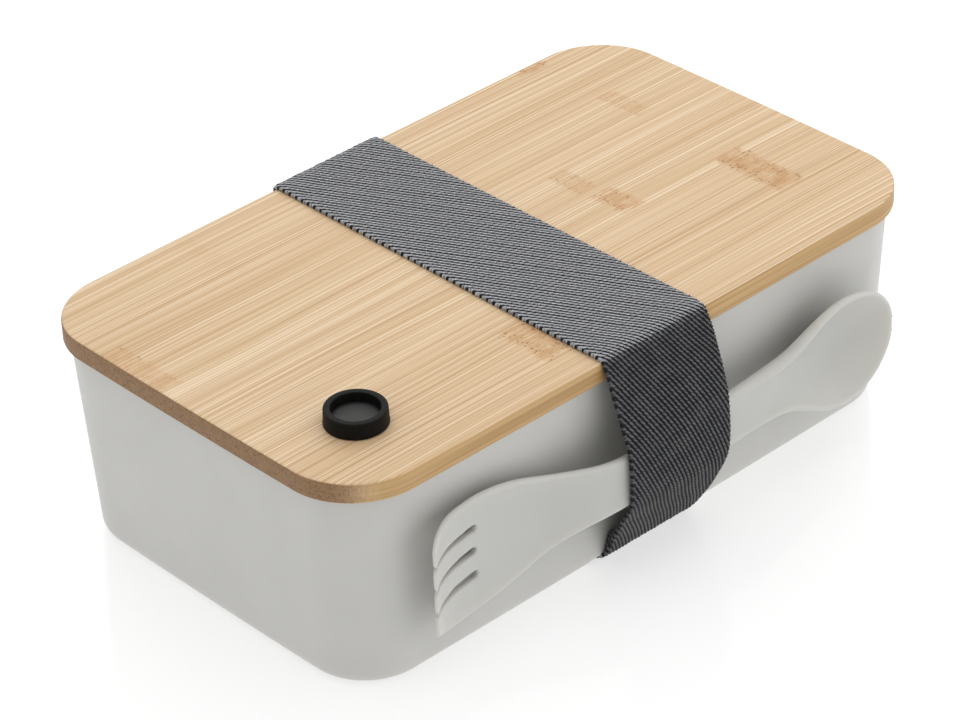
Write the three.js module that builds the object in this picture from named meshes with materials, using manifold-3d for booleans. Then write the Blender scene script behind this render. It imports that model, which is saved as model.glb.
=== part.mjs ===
// Bento lunch box: a moulded tub, a bamboo lid board with a seal ring and a vent plug, an elastic band
// round the middle, and a spork that the band holds against the front wall. Millimetres, +Z up.
// +X runs along the box to the spoon end, the spork lies on the -Y side, and the tub stands on Z = 0.
// X = 0 and Y = 0 are the middle of the whole object, so the box itself sits a little towards +Y.
import * as THREE from 'three';
import { mergeVertices } from 'three/addons/utils/BufferGeometryUtils.js';
import Module from 'manifold-3d';

const GAP = 0.3;

// Lid board. The edge height is what shows above the tub's rim, and the step reaches down into the tub.
const LID_LENGTH = 200;
const LID_WIDTH = 119;
const LID_TOP = 62.7;
const LID_EDGE_HEIGHT = 5.7;
const LID_EDGE_ROUND = 0.9;
const LID_CORNER_RADIUS = 19.4;
const SIDE_BOW = 0.5;
const STEP_HEIGHT = 6.5;
const STEP_CHAMFER = 0.6;

// Tub. The insets are measured in from the lid's edge, at the rim and at the foot.
const RIM_INSET = 1.8;
const FOOT_INSET = 4.2;
const FOOT_ROUND = 3.8;
const FOOT_CORNER = 21.2;
const WALL = 2.2;
const FLOOR = 2.0;
const INNER_ROUND = 7;
const RIM_ROUND = 0.5;

// Channel across the underside that keeps the band off the table
const CHANNEL_DEPTH = 2.0;
const CHANNEL_SIDE_GAP = 1.0;

// Groove round the lid's step, and the seal ring in it
const STEP_WALL_GAP = 0.7;
const GROOVE_DEPTH = 2.0;
const GROOVE_HEIGHT = 3.4;
const GROOVE_DROP = 1.2;
const SEAL_WALL_GAP = 0.35;
const SEAL_LIP = 0.6;

// Vent plug
const PLUG_X = -76;
const PLUG_Y = -35.5;
const PLUG_RADIUS = 8;
const PLUG_HEIGHT = 4.4;
const PLUG_ROUND = 0.4;
const RECESS_RADIUS = 6;
const RECESS_DEPTH = 3;
const HOLE_RADIUS = 4.5;
const STEM_TIP_LENGTH = 2;
const STEM_TIP_RADIUS = 3;
const STEM_BELOW_STEP = 1.5;

// Elastic band: one loop round the box, with its ends lapped and sewn on the back
const BAND_WIDTH = 34.5;
const BAND_X = -1.2;
const BAND_THICKNESS = 1.3;
const BAND_CORNER = 2.2;
const BAND_BULGE_CORNER = 3;
const BAND_ABOVE_SPORK = 8.4;
const BAND_BELOW_SPORK = 8.2;
const BAND_SPORK_GAP = 0.4;
const BAND_FOOT_Y = 55.9;
const BAND_FOOT_Z = 1.7;
const SEAM_Z = 28;
const SEAM_LENGTH = 14;
const SEAM_SINK = 0.3;
const THREAD_RADIUS = 0.3;
const THREAD_SWING = 4;
const THREAD_PITCH = 3;
const THREAD_STEPS_PER_TURN = 6;

// Spork, as stations along its length: half is half the width, out is how far its two long edges stand
// out from the middle plane of the box, sag is how much nearer the box the middle of its face lies, and
// thick is its thickness. Its hollow faces look away from the box.
const SPORK_Z = 31.4;
const SPORK_STATIONS = [
  { x: -81.6, half: 14.2, out: 66.9, sag: 0.0, thick: 1.5 },
  { x: -75, half: 15.7, out: 64.4, sag: 0.6, thick: 1.9 },
  { x: -66, half: 16.2, out: 62.6, sag: 1.4, thick: 2.1 },
  { x: -57, half: 15.5, out: 62.2, sag: 1.5, thick: 2.2 },
  { x: -49, half: 13.7, out: 62.3, sag: 1.3, thick: 2.2 },
  { x: -41, half: 11.1, out: 63.0, sag: 0.9, thick: 2.2 },
  { x: -33, half: 9.2, out: 64.8, sag: 0.4, thick: 2.3 },
  { x: -25, half: 7.9, out: 66.8, sag: 0.1, thick: 2.4 },
  { x: -14, half: 7.3, out: 67.9, sag: 0.0, thick: 2.6 },
  { x: 4, half: 7.4, out: 68.0, sag: 0.0, thick: 2.8 },
  { x: 20, half: 7.8, out: 67.6, sag: 0.3, thick: 3.4 },
  { x: 33, half: 8.0, out: 67.3, sag: 1.2, thick: 4.0 },
  { x: 41, half: 9.1, out: 67.3, sag: 2.8, thick: 4.0 },
  { x: 47, half: 11.6, out: 67.4, sag: 4.6, thick: 3.6 },
  { x: 53, half: 14.5, out: 67.5, sag: 6.4, thick: 2.9 },
  { x: 60, half: 16.1, out: 67.5, sag: 7.4, thick: 2.3 },
  { x: 66, half: 15.9, out: 67.4, sag: 7.3, thick: 2.1 },
  { x: 71, half: 14.3, out: 67.2, sag: 6.2, thick: 2.0 },
  { x: 75.5, half: 11.5, out: 67.0, sag: 4.2, thick: 1.9 },
  { x: 78.7, half: 7.6, out: 66.8, sag: 1.9, thick: 1.8 },
  { x: 80.4, half: 3.6, out: 66.6, sag: 0.4, thick: 1.8 },
  { x: 80.9, half: 1.4, out: 66.6, sag: 0.1, thick: 1.8 },
];
const SPORK_LENGTH_STEPS = 44;
const SPORK_WIDTH_STEPS = 10;
const SPORK_FINE_SHARE = 0.35;
const SPORK_MAX_OUT = 68.1;
const SLOT_PITCH = 6.7;
const SLOT_WIDTH = 2.0;
const SLOT_TIP_WIDTH = 2.2;
const SLOT_START_X = -63;

// Fineness of the curved shapes
const CORNER_STEPS = 8;
const SIDE_STEPS = 4;
const ROUND_STEPS = 3;
const TURN_STEPS = 32;

// Levels and places worked out from the sizes above
const HALF_LENGTH = LID_LENGTH / 2;
const HALF_WIDTH = LID_WIDTH / 2;
const LID_UNDER = LID_TOP - LID_EDGE_HEIGHT;
const STEP_BOTTOM = LID_UNDER - STEP_HEIGHT;
const RIM_TOP = LID_UNDER - GAP;
const STEP_INSET = RIM_INSET + WALL + STEP_WALL_GAP;
const GROOVE_TOP = LID_UNDER - GROOVE_DROP;
const BAND_BACK_Y = HALF_WIDTH + GAP;
const BAND_FRONT_Y = SPORK_MAX_OUT + BAND_SPORK_GAP;
const BOX_Y = (BAND_FRONT_Y - BAND_BACK_Y) / 2;

const wasm = await Module();
wasm.setup();

function toSolid(geometry) {
  const plain = geometry.clone();
  plain.deleteAttribute('normal');
  plain.deleteAttribute('uv');
  const merged = mergeVertices(plain);
  const vertProperties = new Float32Array(merged.attributes.position.array);
  const triVerts = new Uint32Array(merged.index.array);
  return new wasm.Manifold(new wasm.Mesh({ numProp: 3, vertProperties, triVerts }));
}

function toGeometry(solid) {
  const mesh = solid.getMesh();
  const geometry = new THREE.BufferGeometry();
  geometry.setAttribute('position', new THREE.BufferAttribute(mesh.vertProperties, 3));
  geometry.setIndex(new THREE.BufferAttribute(mesh.triVerts, 1));
  return geometry;
}

function block(lengthX, lengthY, lengthZ, x, y, z) {
  return new THREE.BoxGeometry(lengthX, lengthY, lengthZ).translate(x, y, z);
}

// Rings of points with the same count each, joined into one closed surface: either capped at both ends
// or, for a ring-shaped body, joined from the last ring back to the first.
function loft(rings, joined = false) {
  const count = rings[0].length;
  const positions = rings.flat().flatMap((point) => point.toArray());
  const indices = [];
  const bands = joined ? rings.length : rings.length - 1;
  for (let ring = 0; ring < bands; ring += 1) {
    const low = ring * count;
    const high = ((ring + 1) % rings.length) * count;
    for (let step = 0; step < count; step += 1) {
      const next = (step + 1) % count;
      indices.push(low + step, low + next, high + next);
      indices.push(low + step, high + next, high + step);
    }
  }
  if (!joined) {
    const last = (rings.length - 1) * count;
    const bottom = positions.length / 3;
    const top = bottom + 1;
    positions.push(...middleOf(rings[0]).toArray(), ...middleOf(rings[rings.length - 1]).toArray());
    for (let step = 0; step < count; step += 1) {
      const next = (step + 1) % count;
      indices.push(bottom, next, step);
      indices.push(top, last + step, last + next);
    }
  }
  const geometry = new THREE.BufferGeometry();
  geometry.setAttribute('position', new THREE.Float32BufferAttribute(positions, 3));
  geometry.setIndex(indices);
  return geometry;
}

function middleOf(points) {
  const sum = points.reduce((total, point) => total.add(point), new THREE.Vector3());
  return sum.divideScalar(points.length);
}

// The box's outline, drawn in by an inset from the lid's edge: arc corners and slightly bowed sides. The
// corner is the radius that the outline would have at the lid's edge.
function boxOutline(inset, z, corner = LID_CORNER_RADIUS) {
  const halfX = HALF_LENGTH - SIDE_BOW - inset;
  const halfY = HALF_WIDTH - SIDE_BOW - inset;
  const radius = corner - inset;
  const arcs = [];
  for (let quarter = 0; quarter < 4; quarter += 1) {
    const centreX = (halfX - radius) * (quarter % 3 === 0 ? 1 : -1);
    const centreY = (halfY - radius) * (quarter < 2 ? 1 : -1);
    for (let step = 0; step <= CORNER_STEPS; step += 1) {
      const angle = (quarter + step / CORNER_STEPS) * (Math.PI / 2);
      const offset = new THREE.Vector3(radius * Math.cos(angle), radius * Math.sin(angle), 0);
      arcs.push(offset.add(new THREE.Vector3(centreX, centreY, z)));
    }
  }
  const outline = [];
  arcs.forEach((point, index) => {
    outline.push(point);
    if (index % (CORNER_STEPS + 1) === CORNER_STEPS) {
      const next = arcs[(index + 1) % arcs.length];
      for (let step = 1; step < SIDE_STEPS; step += 1) {
        outline.push(point.clone().lerp(next, step / SIDE_STEPS));
      }
    }
  });
  return outline.map((point) => {
    const alongX = point.x / halfX;
    const alongY = point.y / halfY;
    const bowX = SIDE_BOW * alongX * (1 - alongY * alongY);
    const bowY = SIDE_BOW * alongY * (1 - alongX * alongX);
    return new THREE.Vector3(point.x + bowX, point.y + bowY, point.z);
  });
}

// A section is a list of [inset, z] or [inset, z, corner], followed from the bottom outwards and up.
function boxLoft(section, joined = false) {
  return loft(section.map((ring) => boxOutline(...ring)), joined);
}

// Quarter round in a section, from startAngle to endAngle in degrees, where 0 points out of the box.
function sectionRound(inset, z, radius, startAngle, endAngle, corner = LID_CORNER_RADIUS) {
  const points = [];
  for (let step = 0; step <= ROUND_STEPS; step += 1) {
    const angle = THREE.MathUtils.degToRad(startAngle + ((endAngle - startAngle) * step) / ROUND_STEPS);
    points.push([inset - radius * Math.cos(angle), z + radius * Math.sin(angle), corner]);
  }
  return points;
}

function tub() {
  const outside = boxLoft([
    ...sectionRound(FOOT_INSET + FOOT_ROUND, FOOT_ROUND, FOOT_ROUND, -90, 0, FOOT_CORNER),
    ...sectionRound(RIM_INSET + RIM_ROUND, RIM_TOP - RIM_ROUND, RIM_ROUND, 0, 90),
  ]);
  const cavity = boxLoft([
    ...sectionRound(FOOT_INSET + WALL + INNER_ROUND, FLOOR + INNER_ROUND, INNER_ROUND, -90, 0, FOOT_CORNER),
    [RIM_INSET + WALL, RIM_TOP],
    [RIM_INSET + WALL, LID_TOP],
  ]);
  const channelWidth = BAND_WIDTH + 2 * CHANNEL_SIDE_GAP;
  const channel = block(channelWidth, LID_WIDTH, 2 * CHANNEL_DEPTH, BAND_X, 0, 0);
  const raisedFloor = block(channelWidth + 2 * WALL, LID_WIDTH, 2 * (CHANNEL_DEPTH + FLOOR), BAND_X, 0, 0);
  const inside = toSolid(cavity).subtract(toSolid(raisedFloor));
  return toGeometry(toSolid(outside).subtract(inside).subtract(toSolid(channel)));
}

function lidBoard() {
  const grooveInset = STEP_INSET + GROOVE_DEPTH;
  const board = boxLoft([
    [STEP_INSET + STEP_CHAMFER, STEP_BOTTOM],
    [STEP_INSET, STEP_BOTTOM + STEP_CHAMFER],
    [STEP_INSET, GROOVE_TOP - GROOVE_HEIGHT],
    [grooveInset, GROOVE_TOP - GROOVE_HEIGHT],
    [grooveInset, GROOVE_TOP],
    [STEP_INSET, GROOVE_TOP],
    [STEP_INSET, LID_UNDER],
    [STEP_CHAMFER, LID_UNDER],
    [0, LID_UNDER + STEP_CHAMFER],
    ...sectionRound(LID_EDGE_ROUND, LID_TOP - LID_EDGE_ROUND, LID_EDGE_ROUND, 0, 90),
  ]);
  const hole = new THREE.CylinderGeometry(HOLE_RADIUS, HOLE_RADIUS, 2 * LID_TOP, TURN_STEPS);
  hole.rotateX(Math.PI / 2).translate(PLUG_X, PLUG_Y, 0);
  return toGeometry(toSolid(board).subtract(toSolid(hole)));
}

function lidSeal() {
  const back = STEP_INSET + GROOVE_DEPTH - GAP;
  const lip = RIM_INSET + WALL + SEAL_WALL_GAP;
  const root = lip + SEAL_LIP;
  const low = GROOVE_TOP - GROOVE_HEIGHT + GAP;
  const high = GROOVE_TOP - GAP;
  const rise = (high - low) / 4;
  return boxLoft(
    [
      [back, low],
      [root, low],
      [lip, low + rise],
      [root, low + 2 * rise],
      [lip, low + 3 * rise],
      [root, high],
      [back, high],
    ],
    true,
  );
}

function ventPlug() {
  const headBottom = LID_TOP + GAP;
  const top = LID_TOP + PLUG_HEIGHT;
  const stemBottom = STEP_BOTTOM - STEM_BELOW_STEP;
  const stemRadius = HOLE_RADIUS - GAP;
  const profile = [
    [0, stemBottom],
    [STEM_TIP_RADIUS, stemBottom],
    [stemRadius, stemBottom + STEM_TIP_LENGTH],
    [stemRadius, headBottom],
    [PLUG_RADIUS, headBottom],
    [PLUG_RADIUS, top - PLUG_ROUND],
    [PLUG_RADIUS - PLUG_ROUND, top],
    [RECESS_RADIUS, top],
    [RECESS_RADIUS, top - RECESS_DEPTH],
    [0, top - RECESS_DEPTH],
  ];
  const turned = new THREE.LatheGeometry(profile.map(([r, z]) => new THREE.Vector2(r, z)), TURN_STEPS);
  return turned.rotateX(Math.PI / 2).translate(PLUG_X, PLUG_Y, 0);
}

// A closed polygon whose corners are rounded, as points. Each corner is [x, y, round].
function roundedLoop(corners) {
  const path = new THREE.Path();
  corners.forEach(([x, y, round], index) => {
    const corner = new THREE.Vector2(x, y);
    const before = new THREE.Vector2(...corners.at(index - 1).slice(0, 2));
    const after = new THREE.Vector2(...corners[(index + 1) % corners.length].slice(0, 2));
    const start = corner.clone().add(before.sub(corner).setLength(round));
    const end = corner.clone().add(after.sub(corner).setLength(round));
    if (index === 0) {
      path.moveTo(start.x, start.y);
    } else {
      path.lineTo(start.x, start.y);
    }
    path.quadraticCurveTo(x, y, end.x, end.y);
  });
  return path.getPoints(ROUND_STEPS + 1);
}

// The loop grown outwards by a distance. The loop runs anticlockwise.
function grownLoop(points, distance) {
  return points.map((point, index) => {
    const before = points.at(index - 1);
    const after = points[(index + 1) % points.length];
    const along = after.clone().sub(before).normalize();
    return new THREE.Vector2(point.x + along.y * distance, point.y - along.x * distance);
  });
}

// Turns a shape drawn in (Y, Z) and extruded by a depth into one that runs along X.
function alongX(geometry, startX) {
  const turn = new THREE.Matrix4().makeBasis(
    new THREE.Vector3(0, 1, 0),
    new THREE.Vector3(0, 0, 1),
    new THREE.Vector3(1, 0, 0),
  );
  return geometry.applyMatrix4(turn).translate(startX, 0, 0);
}

function bandBackSlope() {
  return Math.atan2(BAND_BACK_Y - BAND_FOOT_Y, LID_UNDER - BAND_FOOT_Z);
}

function elasticBand() {
  const top = LID_TOP + GAP;
  const inner = roundedLoop([
    [-BAND_FOOT_Y, BAND_FOOT_Z, BAND_CORNER],
    [BAND_FOOT_Y, BAND_FOOT_Z, BAND_CORNER],
    [BAND_BACK_Y, LID_UNDER, BAND_CORNER],
    [BAND_BACK_Y, top, BAND_CORNER],
    [-BAND_BACK_Y, top, BAND_CORNER],
    [-BAND_FRONT_Y, SPORK_Z + BAND_ABOVE_SPORK, BAND_BULGE_CORNER],
    [-BAND_FRONT_Y, SPORK_Z - BAND_BELOW_SPORK, BAND_BULGE_CORNER],
  ]);
  const shape = new THREE.Shape(grownLoop(inner, BAND_THICKNESS));
  shape.holes.push(new THREE.Path(inner));
  const loop = new THREE.ExtrudeGeometry(shape, { depth: BAND_WIDTH, bevelEnabled: false });
  const lap = block(BAND_WIDTH, BAND_THICKNESS + SEAM_SINK, SEAM_LENGTH, 0, 0, 0);
  lap.rotateX(-bandBackSlope()).translate(BAND_X, seamY(1.5 * BAND_THICKNESS - SEAM_SINK / 2), SEAM_Z);
  return toGeometry(toSolid(alongX(loop, BAND_X - BAND_WIDTH / 2)).add(toSolid(lap)));
}

// Y of a point on the seam's middle line, a distance outside the band's inner face.
function seamY(distance) {
  const slope = bandBackSlope();
  return BAND_FOOT_Y + (SEAM_Z - BAND_FOOT_Z) * Math.tan(slope) + distance / Math.cos(slope);
}

function seamThread() {
  const points = [];
  const turns = Math.floor(BAND_WIDTH / THREAD_PITCH) - 1;
  const slope = bandBackSlope();
  const outside = seamY(2 * BAND_THICKNESS + GAP + THREAD_RADIUS);
  for (let turn = 0; turn <= turns; turn += 1) {
    const side = turn % 2 === 0 ? 1 : -1;
    const x = BAND_X + (turn - turns / 2) * THREAD_PITCH;
    const up = side * THREAD_SWING;
    points.push(new THREE.Vector3(x, outside + up * Math.sin(slope), SEAM_Z + up * Math.cos(slope)));
  }
  const path = new THREE.CatmullRomCurve3(points);
  const section = new THREE.Shape().absarc(0, 0, THREAD_RADIUS, 0, 2 * Math.PI);
  const steps = THREAD_STEPS_PER_TURN * turns;
  const options = { steps, curveSegments: 4, extrudePath: path, bevelEnabled: false };
  return new THREE.ExtrudeGeometry(section, options);
}

// One size of the spork as a smooth function of X.
function sporkCurve(name) {
  const places = SPORK_STATIONS.map((station) => station.x);
  const values = SPORK_STATIONS.map((station) => station[name]);
  const curve = new THREE.CubicInterpolant(places, values, 1);
  return (x) => curve.evaluate(x)[0];
}

// The rings lie closer together towards the spoon's end, where the outline curves most.
function spork() {
  const [half, out, sag, thick] = ['half', 'out', 'sag', 'thick'].map(sporkCurve);
  const start = SPORK_STATIONS[0].x;
  const end = SPORK_STATIONS.at(-1).x;
  const rings = [];
  for (let step = 0; step <= SPORK_LENGTH_STEPS; step += 1) {
    const even = step / SPORK_LENGTH_STEPS;
    const eased = Math.sin(even * (Math.PI / 2));
    const x = THREE.MathUtils.lerp(start, end, THREE.MathUtils.lerp(even, eased, SPORK_FINE_SHARE));
    const face = [];
    const back = [];
    for (let across = 0; across <= SPORK_WIDTH_STEPS; across += 1) {
      const side = (2 * across) / SPORK_WIDTH_STEPS - 1;
      const y = -(Math.min(out(x), SPORK_MAX_OUT) - sag(x) * (1 - side * side));
      const z = SPORK_Z + half(x) * side;
      face.push(new THREE.Vector3(x, y, z));
      back.push(new THREE.Vector3(x, y + thick(x), z));
    }
    rings.push([...back, ...face.reverse()]);
  }
  const body = toSolid(loft(rings));
  const slots = [-1, 0, 1].map((place) => toSolid(tineSlot(SPORK_Z + place * SLOT_PITCH)));
  return toGeometry(slots.reduce((solid, slot) => solid.subtract(slot), body));
}

// The gap between two tines, right through the spork and a little wider at the tips.
function tineSlot(z) {
  const reach = SPORK_STATIONS[0].x - 1;
  const shape = new THREE.Shape();
  shape.moveTo(reach, z - SLOT_TIP_WIDTH / 2);
  shape.lineTo(SLOT_START_X - SLOT_WIDTH / 2, z - SLOT_WIDTH / 2);
  shape.absarc(SLOT_START_X - SLOT_WIDTH / 2, z, SLOT_WIDTH / 2, -Math.PI / 2, Math.PI / 2);
  shape.lineTo(reach, z + SLOT_TIP_WIDTH / 2);
  const slot = new THREE.ExtrudeGeometry(shape, { depth: LID_WIDTH, curveSegments: 3, bevelEnabled: false });
  return slot.rotateX(Math.PI / 2);
}

const finishes = {
  tub: { color: 0xd9d9d5, roughness: 0.45, metalness: 0 },
  bamboo: { color: 0xdcb87f, roughness: 0.6, metalness: 0 },
  blackSilicone: { color: 0x1f1f20, roughness: 0.7, metalness: 0 },
  clearSilicone: { color: 0xe9e9e6, roughness: 0.5, metalness: 0 },
  elastic: { color: 0x4a4b50, roughness: 0.95, metalness: 0 },
  thread: { color: 0x2c2d31, roughness: 0.9, metalness: 0 },
};

const group = new THREE.Group();
group.position.y = BOX_Y;

function addPiece(name, geometry, finish) {
  const mesh = new THREE.Mesh(geometry, new THREE.MeshStandardMaterial(finish));
  mesh.name = name;
  group.add(mesh);
}

addPiece('tub', tub(), finishes.tub);
addPiece('lid_board', lidBoard(), finishes.bamboo);
addPiece('lid_seal', lidSeal(), finishes.clearSilicone);
addPiece('vent_plug', ventPlug(), finishes.blackSilicone);
addPiece('elastic_band', elasticBand(), finishes.elastic);
addPiece('seam_thread', seamThread(), finishes.thread);
addPiece('spork', spork(), finishes.tub);

const root = new THREE.Group();
root.add(group);
root.updateMatrixWorld(true);

export default root;
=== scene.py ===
"""Looks of the bento lunch box: a moulded tub, a bamboo lid with a silicone vent plug, a woven elastic band
and a spork. Sizes are in millimetres from the middle of the box, and become metres in the CAD frame when a
mesh is made. +X runs along the box to the spoon end, and the spork lies on the -Y side."""
import math

import bmesh
import bpy
import numpy as np
from mathutils import Matrix, Vector


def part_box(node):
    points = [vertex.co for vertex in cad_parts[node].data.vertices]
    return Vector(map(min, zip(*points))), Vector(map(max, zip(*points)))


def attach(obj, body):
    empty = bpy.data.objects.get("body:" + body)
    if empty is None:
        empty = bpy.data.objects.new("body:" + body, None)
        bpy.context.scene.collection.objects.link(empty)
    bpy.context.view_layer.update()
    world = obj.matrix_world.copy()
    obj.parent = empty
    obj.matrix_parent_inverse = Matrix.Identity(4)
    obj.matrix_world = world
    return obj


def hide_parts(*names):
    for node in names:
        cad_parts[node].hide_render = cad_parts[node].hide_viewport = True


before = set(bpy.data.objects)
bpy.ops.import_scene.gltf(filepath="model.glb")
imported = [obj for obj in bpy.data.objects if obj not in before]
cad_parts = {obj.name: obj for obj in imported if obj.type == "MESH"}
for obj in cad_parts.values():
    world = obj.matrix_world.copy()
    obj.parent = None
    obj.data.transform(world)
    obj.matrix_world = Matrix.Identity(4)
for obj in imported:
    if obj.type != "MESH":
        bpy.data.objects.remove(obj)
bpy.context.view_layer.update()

MM = 0.001
SEED = 11

# Places that the CAD nodes give
LID_LOW, LID_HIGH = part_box("lid_board")
_, TUB_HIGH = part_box("tub")
BOX_Y = (LID_LOW.y + LID_HIGH.y) / 2 / MM
HALF_LENGTH = (LID_HIGH.x - LID_LOW.x) / 2 / MM
HALF_WIDTH = (LID_HIGH.y - LID_LOW.y) / 2 / MM
LID_TOP = LID_HIGH.z / MM
STEP_BOTTOM = LID_LOW.z / MM
RIM_TOP = TUB_HIGH.z / MM

# Lid and tub, as in the CAD model but for the rounding of the lid's edge, which is a little smaller here
LID_EDGE_HEIGHT = 5.7
LID_EDGE_ROUND = 0.6
LID_UNDER_ROUND = 0.6
LID_CORNER = 19.4
SIDE_BOW = 0.5
RIM_INSET = 1.8
FOOT_INSET = 4.2
FOOT_ROUND = 3.8
FOOT_CORNER = 21.2
WALL = 2.2
FLOOR = 2.0
INNER_ROUND = 7.0
RIM_ROUND = 0.5
CHANNEL_DEPTH = 2.0
CHANNEL_WIDTH = 36.5
RAISED_FLOOR_INSET = 6.5
STEP_WALL_GAP = 0.7
GROOVE_DEPTH = 2.0
GROOVE_HEIGHT = 3.4
GROOVE_DROP = 1.2
SEAL_WALL_GAP = 0.35
SEAL_LIP = 0.6
GAP = 0.3  # play between two pieces that fit into each other
LID_UNDER = LID_TOP - LID_EDGE_HEIGHT
STEP_INSET = RIM_INSET + WALL + STEP_WALL_GAP
GROOVE_TOP = LID_UNDER - GROOVE_DROP

# Vent plug
PLUG_X = -76.0
PLUG_Y = -35.5
PLUG_RADIUS = 8.0
PLUG_TOP_RADIUS = 7.75
PLUG_TOP = LID_TOP + 4.4
RECESS_RADIUS = 6.0
RECESS_DEPTH = 3.0
HOLE_RADIUS = 4.5
HOLE_SIDES = 64
PLUG_SIDES = 96

# Elastic band
BAND_X = -1.2
BAND_WIDTH = 34.5
BAND_THICKNESS = 1.3
RIB_PITCH = 2.38  # along the band
RIB_SLOPE = 1.857  # how far a rib runs along the band for each millimetre across it
RIB_RELIEF = 0.6
SELVEDGE = 0.35  # how far the rounded edges stand out
SELVEDGE_WAVE = 0.6  # the share of that by which each rib makes them wave
STITCH_PITCH = 1.38

# Spork
SPORK_Z = 31.4
SLOT_PITCH = 6.7


# ---------------------------------------------------------------- meshes

def add_object(name, mesh):
    made = bpy.data.objects.new(name, mesh)
    bpy.context.scene.collection.objects.link(made)
    return made


def mesh_object(name, points, faces):
    placed = np.array(points, float).reshape(-1, 3)
    placed[:, 1] += BOX_Y
    mesh = bpy.data.meshes.new(name)
    mesh.from_pydata((placed * MM).tolist(), [], faces)
    mesh.shade_smooth()
    return add_object(name, mesh)


def grid_faces(rows, columns, wrap_rows=False):
    """Quads between rows of points. Each row is a closed ring of columns, and wrapped rows close too."""
    last = rows if wrap_rows else rows - 1
    row, column = np.meshgrid(np.arange(last), np.arange(columns), indexing="ij")
    after = (column + 1) % columns
    above = (row + 1) % rows
    quads = np.stack(
        [row * columns + column, row * columns + after, above * columns + after, above * columns + column], -1
    )
    return quads.reshape(-1, 4).tolist()


def loft(name, rings, joined=False):
    """Rings of points, from the bottom up and anticlockwise from above, as one closed body. A joined one goes
    from its last ring to its first instead of having ends."""
    rings = np.array(rings)
    rows, columns = rings.shape[:2]
    faces = grid_faces(rows, columns, joined)
    if not joined:
        faces.append(list(range(columns))[::-1])
        faces.append(list(range((rows - 1) * columns, rows * columns)))
    return mesh_object(name, rings, faces)


def box_outline(inset, z, corner=LID_CORNER, corner_steps=20, side_steps=8):
    """The box's outline, drawn in by an inset from the lid's edge."""
    half_x, half_y = HALF_LENGTH - SIDE_BOW - inset, HALF_WIDTH - SIDE_BOW - inset
    radius = corner - inset
    outline = []
    for quarter in range(4):
        centre_x = (half_x - radius) * (1 if quarter in (0, 3) else -1)
        centre_y = (half_y - radius) * (1 if quarter < 2 else -1)
        angles = (quarter + np.arange(corner_steps + 1) / corner_steps) * math.pi / 2
        arc = np.stack([centre_x + radius * np.cos(angles), centre_y + radius * np.sin(angles)], 1)
        outline.append(arc)
    points = []
    for quarter in range(4):
        points.extend(outline[quarter])
        start, end = outline[quarter][-1], outline[(quarter + 1) % 4][0]
        points.extend(start + (end - start) * step / side_steps for step in range(1, side_steps))
    points = np.array(points)
    along_x, along_y = points[:, 0] / half_x, points[:, 1] / half_y
    x = points[:, 0] + SIDE_BOW * along_x * (1 - along_y**2)
    y = points[:, 1] + SIDE_BOW * along_y * (1 - along_x**2)
    return np.stack([x, y, np.full(len(x), float(z))], 1)


def section_round(inset, z, radius, start, end, corner=LID_CORNER, steps=7):
    """Part of a circle in a section, from start to end in degrees, where 0 points out of the box."""
    angles = np.radians(np.linspace(start, end, steps + 1))
    return [(inset - radius * math.cos(a), z + radius * math.sin(a), corner) for a in angles]


def section_line(start, end, steps):
    """Points between two section points, without the points themselves."""
    shares = [step / steps for step in range(1, steps)]
    return [tuple(a + (b - a) * share for a, b in zip(start, end)) for share in shares]


def block(name, low, high, bevel):
    """A box between two corners, with its edges rounded."""
    low, high = np.array(low, float), np.array(high, float)
    made = bmesh.new()
    bmesh.ops.create_cube(made, size=1.0)
    for vertex in made.verts:
        place = low + (high - low) * (np.array(vertex.co) + 0.5)
        vertex.co = Vector((place[0], place[1] + BOX_Y, place[2])) * MM
    bmesh.ops.bevel(made, geom=made.edges[:], offset=bevel * MM, segments=4, profile=0.5, affect="EDGES")
    mesh = bpy.data.meshes.new(name)
    made.to_mesh(mesh)
    made.free()
    return add_object(name, mesh)


def apply_modifiers(piece):
    graph = bpy.context.evaluated_depsgraph_get()
    mesh = bpy.data.meshes.new_from_object(piece.evaluated_get(graph))
    piece.modifiers.clear()
    piece.data = mesh


def combine(piece, tool, operation):
    """Joins the tool to the piece or cuts it away, and removes the tool."""
    modifier = piece.modifiers.new("combine", "BOOLEAN")
    modifier.operation = operation
    modifier.solver = "EXACT"
    modifier.object = tool
    apply_modifiers(piece)
    bpy.data.objects.remove(tool)


def soften(piece, degrees):
    """Smooth shading, but sharp where two faces meet at more than this angle."""
    piece.data.shade_smooth()
    piece.data.set_sharp_from_angle(angle=math.radians(degrees))


def ring_tube(centres, radius, sides=10):
    """Rings of points round a line of points."""
    centres = np.array(centres)
    along = np.gradient(centres, axis=0)
    along /= np.linalg.norm(along, axis=1)[:, None]
    side = np.cross(along, (0, 1, 0))
    side /= np.linalg.norm(side, axis=1)[:, None]
    other = np.cross(along, side)
    angles = np.arange(sides) * 2 * math.pi / sides
    across, beside = np.cos(angles)[None, :, None], np.sin(angles)[None, :, None]
    return centres[:, None] + radius * (side[:, None] * across + other[:, None] * beside)


def smooth_curve(places, values):
    """A smooth function through the values. Its slope at each comes from the neighbours on both sides."""
    places, values = np.array(places, float), np.array(values, float)
    slopes = np.gradient(values, places)

    def curve(x):
        x = np.clip(x, places[0], places[-1])
        at = np.clip(np.searchsorted(places, x, side="right") - 1, 0, len(places) - 2)
        step = places[at + 1] - places[at]
        t = (x - places[at]) / step
        start = (1 + 2 * t) * (1 - t) ** 2 * values[at] + t * (1 - t) ** 2 * step * slopes[at]
        end = t * t * (3 - 2 * t) * values[at + 1] + t * t * (t - 1) * step * slopes[at + 1]
        return start + end

    return curve


def smooth_step(x, low, high):
    t = np.clip((x - low) / (high - low), 0, 1)
    return t * t * (3 - 2 * t)


# ---------------------------------------------------------------- materials

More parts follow.
